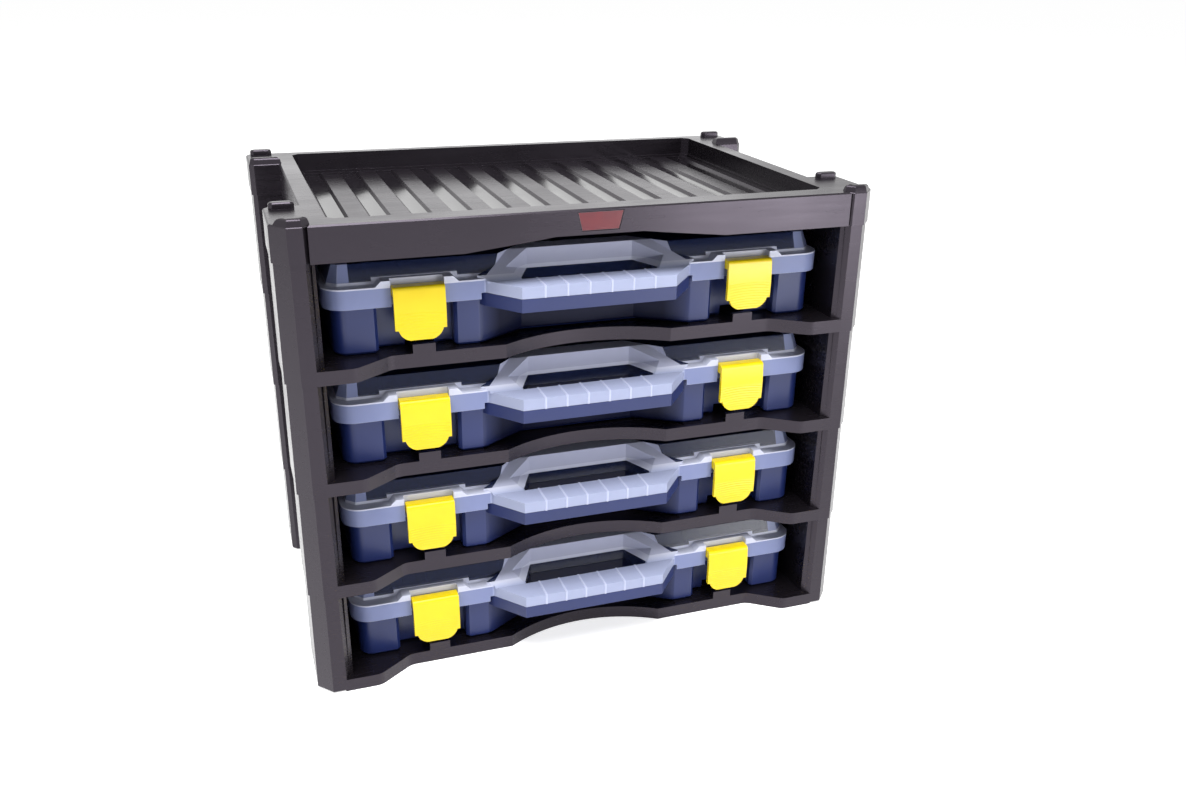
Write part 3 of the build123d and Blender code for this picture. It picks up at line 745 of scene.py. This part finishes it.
def yellowPolypropylene():
    # glossy yellow polypropylene: smooth above, with fine bowed grip lines across the lower half
    look = latchLook
    material, tree = newMaterial("yellowPolypropylene")
    place = addNode(tree, "ShaderNodeTexCoord")
    blotch = addNode(
        tree,
        "ShaderNodeTexNoise",
        {
            "Vector": (place, "Object"),
            "Scale": noiseScale(look["blotchMm"]),
            "Detail": look["blotchDetail"],
        },
    )
    color = addNode(
        tree,
        "ShaderNodeMix",
        {0: (blotch, 0), 6: hexColor(look["yellow"]), 7: hexColor(look["shade"])},
        data_type="RGBA",
    )
    axes = addNode(tree, "ShaderNodeSeparateXYZ", {0: (place, "Object")})
    across = addNode(tree, "ShaderNodeMath", {0: (axes, 0)}, operation="ABSOLUTE")
    aside = addNode(
        tree, "ShaderNodeMath", {0: (across, 0), 1: look["middleMm"] * mm}, operation="SUBTRACT"
    )
    square = addNode(tree, "ShaderNodeMath", {0: (aside, 0), 1: (aside, 0)}, operation="MULTIPLY")
    droop = addNode(
        tree,
        "ShaderNodeMath",
        {0: (square, 0), 1: look["lineSag"] / mm, 2: (axes, 2)},
        operation="MULTIPLY_ADD",
    )
    lines = addNode(
        tree,
        "ShaderNodeMath",
        {0: (droop, 0), 1: 2 * math.pi / (look["lineMm"] * mm)},
        operation="MULTIPLY",
    )
    wave = addNode(tree, "ShaderNodeMath", {0: (lines, 0)}, operation="SINE")
    lifted = addNode(tree, "ShaderNodeMath", {0: (axes, 2), 1: caseFloor}, operation="SUBTRACT")
    height = addNode(tree, "ShaderNodeMath", {0: (lifted, 0), 1: casePitch}, operation="MODULO")
    lower = addNode(
        tree,
        "ShaderNodeMapRange",
        {
            "Value": (height, 0),
            1: look["linesToZMm"] * mm,
            2: (look["linesToZMm"] + look["linesFadeMm"]) * mm,
            3: 1.0,
            4: 0.0,
        },
    )
    grip = addNode(tree, "ShaderNodeMath", {0: (wave, 0), 1: (lower, 0)}, operation="MULTIPLY")
    bump = addNode(
        tree,
        "ShaderNodeBump",
        {
            "Height": (grip, 0),
            "Strength": look["lineStrength"],
            "Distance": look["lineDepthMm"] * mm,
        },
    )
    surface = addNode(
        tree,
        "ShaderNodeBsdfPrincipled",
        {
            "Base Color": (color, 2),
            "Roughness": look["rough"],
            "Normal": (bump, 0),
            "IOR": polypropyleneIor,
        },
    )
    addNode(tree, "ShaderNodeOutputMaterial", {"Surface": (surface, 0)})
    return material


yellowPlastic = yellowPolypropylene()

badgeLook = {
    "face": "#741c26",
    "shade": "#5a1a29",
    "rim": "#5d585f",
    "blotchMm": 9,
    "blotchDetail": 1.0,
    "rough": 0.18,
    "ior": 1.49,
}


def blankBadgeAcrylic(name, face, shade):
    # a cast acrylic plate, plain and glossy, left blank
    look = badgeLook
    material, tree = newMaterial(name)
    place = addNode(tree, "ShaderNodeTexCoord")
    blotch = addNode(
        tree,
        "ShaderNodeTexNoise",
        {
            "Vector": (place, "Object"),
            "Scale": noiseScale(look["blotchMm"]),
            "Detail": look["blotchDetail"],
        },
    )
    color = addNode(
        tree,
        "ShaderNodeMix",
        {0: (blotch, 0), 6: hexColor(face), 7: hexColor(shade)},
        data_type="RGBA",
    )
    surface = addNode(
        tree,
        "ShaderNodeBsdfPrincipled",
        {"Base Color": (color, 2), "Roughness": look["rough"], "IOR": look["ior"]},
    )
    addNode(tree, "ShaderNodeOutputMaterial", {"Surface": (surface, 0)})
    return material


badgePlastic = blankBadgeAcrylic("blankBadgeAcrylic", badgeLook["face"], badgeLook["shade"])
badgeRim = blankBadgeAcrylic("blankBadgeAcrylicRim", badgeLook["rim"], badgeLook["rim"])
print("materials made:", len(bpy.data.materials))

# each node is copied, its loose triangles merged, and its mould's small edge radius added
edges = {
    "rack": {"radiusMm": 0.7, "segments": 2},
    "base": {"radiusMm": 1.0, "segments": 2},
    "lid": {"radiusMm": 0.45, "segments": 2},
    "latch": {"radiusMm": 0.4, "segments": 2},
    "divider": {"radiusMm": 0.25, "segments": 1},
    "badge": {"radiusMm": 0.25, "segments": 2},
}
copyLook = {
    "mergeMm": 0.002,
    "flatDegrees": 0.5,  # triangles that lie flatter than this become one face
    "edgeDegrees": 28,  # edges sharper than this get the radius
    "smoothDegrees": 32,
}


def paint(piece, *materials):
    piece.data.materials.clear()
    for material in materials:
        piece.data.materials.append(material)


def mergedCopy(node):
    piece = bpy.data.objects.new(node + "_moulded", nodes[node].data.copy())
    bpy.context.scene.collection.objects.link(piece)
    bpy.ops.object.select_all(action="DESELECT")
    piece.select_set(True)
    bpy.context.view_layer.objects.active = piece
    bpy.ops.object.mode_set(mode="EDIT")
    bpy.ops.mesh.select_all(action="SELECT")
    bpy.ops.mesh.remove_doubles(threshold=copyLook["mergeMm"] * mm)
    bpy.ops.mesh.dissolve_limited(angle_limit=math.radians(copyLook["flatDegrees"]))
    bpy.ops.object.mode_set(mode="OBJECT")
    return piece


def mouldedEdges(piece, node, look, face, edge):
    bevel = piece.modifiers.new("edgeRadius", "BEVEL")
    bevel.width = look["radiusMm"] * mm
    bevel.segments = look["segments"]
    bevel.limit_method = "ANGLE"
    bevel.angle_limit = math.radians(copyLook["edgeDegrees"])
    bevel.use_clamp_overlap = True
    bevel.material = 1  # the edge's own material, which on most parts is painted paler as a painted highlight
    paint(piece, face, edge)
    bpy.ops.object.modifier_apply(modifier=bevel.name)
    bpy.ops.object.shade_smooth_by_angle(angle=math.radians(copyLook["smoothDegrees"]))
    flat = piece.modifiers.new("flatFaces", "WEIGHTED_NORMAL")
    flat.keep_sharp = True
    bpy.ops.object.modifier_apply(modifier=flat.name)
    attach(piece, nodes[node]["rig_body"])
    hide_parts(node)


def mouldedCopy(node, look, face, edge):
    mouldedEdges(mergedCopy(node), node, look, face, edge)


trayLook = {
    "ribHeightMm": 3.5,
    "ribRadiusMm": 1.5,
    "ribSegments": 3,
    "trayDepthMm": 12.5,
    "fluteDepthMm": 1.5,
    "topReachMm": 0.1,  # edges this near the top are the stacking ribs' rims
    "floorReachMm": 0.2,  # faces this near the flutes' depth are their bottoms
    "facingUp": 0.95,
}


def trayCopy():
    # the stacking ribs have rounder tops than the rest, and the flutes' bottoms are polished
    look = trayLook
    piece = mergedCopy("top_tray")
    top = highest.z
    ribRims = top - look["topReachMm"] * mm
    mesh = piece.data
    bpy.ops.object.mode_set(mode="EDIT")
    bpy.ops.mesh.select_mode(type="EDGE")
    bpy.ops.mesh.select_all(action="DESELECT")
    bpy.ops.object.mode_set(mode="OBJECT")
    for edge in mesh.edges:
        edge.select = all(mesh.vertices[v].co.z > ribRims for v in edge.vertices)
    bpy.ops.object.mode_set(mode="EDIT")
    bpy.ops.mesh.bevel(
        offset=look["ribRadiusMm"] * mm, segments=look["ribSegments"], affect="EDGES"
    )
    bpy.ops.object.mode_set(mode="OBJECT")
    mouldedEdges(piece, "top_tray", edges["rack"], blackPlastic, blackHighlightEdge)
    mesh.materials.append(flutePlastic)
    fluteFloor = top - (look["ribHeightMm"] + look["trayDepthMm"] + look["fluteDepthMm"]) * mm
    polished = 0
    for polygon in mesh.polygons:
        atFloor = abs(polygon.center.z - fluteFloor) < look["floorReachMm"] * mm
        if atFloor and polygon.normal.z > look["facingUp"]:
            polygon.material_index = 2
            polished += 1
    print("polished flute faces:", polished)


for number in caseNumbers:
    case = f"case_{number}"
    mouldedCopy(f"rack_module_{number}", edges["rack"], blackPlastic, blackHighlightEdge)
    mouldedCopy(case + "_base", edges["base"], navyPlastic, navyHighlightEdge)
    mouldedCopy(case + "_dividers", edges["divider"], navyPlastic, navyHighlightEdge)
    mouldedCopy(case + "_lid", edges["lid"], frostedPlastic, frostedHighlightEdge)
    for side in ("left", "right"):
        latch = f"{case}_latch_{side}"
        mouldedCopy(latch, edges["latch"], yellowPlastic, yellowPlastic)
trayCopy()
mouldedCopy("badge_plate", edges["badge"], badgePlastic, badgeRim)
print("moulded copies made")

stageLook = {
    "floorSide": 90.0,
    "floor": "#f4f4f4",
    "floorGlow": 0.7,
    "sky": "#ffffff",
    "skySeen": 1.0,  # the strength that the camera and mirrors see, which is white
    "ambient": 0.32,
    "lamps": [
        {"name": "keyLamp", "at": (1.3, -1.9, 0.42), "size": 0.8, "power": 8.5},
        {"name": "highLamp", "at": (-0.3, -0.62, 2.0), "size": 1.1, "power": 50},
        {"name": "lowLamp", "at": (0.58, -1.0, 0.12), "size": 0.3, "power": 1.9},
        {"name": "backLamp", "at": (0.5, 2.2, 0.75), "size": 1.4, "power": 3.4},
    ],
}


def seenRays(tree):
    # 1 for rays that show the background, straight on, mirrored or through glass, else 0
    path = addNode(tree, "ShaderNodeLightPath")
    seen = addNode(
        tree,
        "ShaderNodeMath",
        {0: (path, "Is Camera Ray"), 1: (path, "Is Glossy Ray")},
        operation="MAXIMUM",
    )
    return addNode(
        tree,
        "ShaderNodeMath",
        {0: (seen, 0), 1: (path, "Is Transmission Ray")},
        operation="MAXIMUM",
    )


def buildFloor():
    # a matte white floor that glows only for what shows it, so that it keeps the object's shadow
    look = stageLook
    bpy.ops.object.select_all(action="DESELECT")
    bpy.ops.mesh.primitive_plane_add(size=look["floorSide"], location=(0, 0, 0))
    floor = bpy.context.object
    floor.name = "floor"
    material, tree = newMaterial("matteFloor")
    seen = seenRays(tree)
    matte = addNode(tree, "ShaderNodeBsdfDiffuse", {"Color": hexColor(look["floor"])})
    glow = addNode(tree, "ShaderNodeEmission", {"Strength": look["floorGlow"]})
    both = addNode(tree, "ShaderNodeAddShader", {0: (matte, 0), 1: (glow, 0)})
    mixed = addNode(tree, "ShaderNodeMixShader", {0: (seen, 0), 1: (matte, 0), 2: (both, 0)})
    addNode(tree, "ShaderNodeOutputMaterial", {"Surface": (mixed, 0)})
    paint(floor, material)


def buildSky():
    look = stageLook
    world = bpy.data.worlds.new("paleStudio")
    bpy.context.scene.world = world
    world.use_nodes = True
    tree = world.node_tree
    tree.nodes.clear()
    strength = addNode(
        tree,
        "ShaderNodeMapRange",
        {"Value": (seenRays(tree), 0), 3: look["ambient"], 4: look["skySeen"]},
    )
    sky = addNode(
        tree, "ShaderNodeBackground", {"Color": hexColor(look["sky"]), "Strength": (strength, 0)}
    )
    addNode(tree, "ShaderNodeOutputWorld", {"Surface": (sky, 0)})


def buildLamps():
    # each lamp points at the middle of the object
    target = Vector((0, 0, (lowest.z + highest.z) / 2))
    for lamp in stageLook["lamps"]:
        data = bpy.data.lights.new(lamp["name"], "AREA")
        data.shape = "SQUARE"
        data.size = lamp["size"]
        data.energy = lamp["power"]
        light = bpy.data.objects.new(lamp["name"], data)
        bpy.context.scene.collection.objects.link(light)
        light.location = lamp["at"]
        light.rotation_euler = (target - light.location).to_track_quat("-Z", "Y").to_euler()
        light.visible_camera = False


buildFloor()
buildSky()
buildLamps()

# where the photograph was taken from, with the angles in degrees
cameraLook = {
    "at": (-0.1897, -0.63395, 0.3931),
    "azimuth": -19.18,
    "elevation": 24.37,
    "roll": 0.75,
    "sensorMm": 36,
    "lensMm": 32.61,
    "shiftX": 0.0051,
    "shiftY": 0.0393,
    "clipStart": 0.01,
    "clipEnd": 50,
}


def buildCamera():
    look = cameraLook
    data = bpy.data.cameras.new("photoCamera")
    data.sensor_width = look["sensorMm"]
    data.lens = look["lensMm"]
    data.shift_x = look["shiftX"]
    data.shift_y = look["shiftY"]
    data.clip_start = look["clipStart"]
    data.clip_end = look["clipEnd"]
    camera = bpy.data.objects.new("photoCamera", data)
    bpy.context.scene.collection.objects.link(camera)
    azimuth, elevation = math.radians(look["azimuth"]), math.radians(look["elevation"])
    level = math.cos(elevation)
    back = Vector((math.sin(azimuth) * level, -math.cos(azimuth) * level, math.sin(elevation)))
    right = Vector((math.cos(azimuth), math.sin(azimuth), 0))
    right = Matrix.Rotation(math.radians(look["roll"]), 3, back) @ right
    up = back.cross(right)
    turn = Matrix((right, up, back)).transposed().to_4x4()
    camera.matrix_world = Matrix.Translation(look["at"]) @ turn
    bpy.context.scene.camera = camera


buildCamera()
bpy.context.scene.view_settings.view_transform = "Standard"
print("stage and camera set")
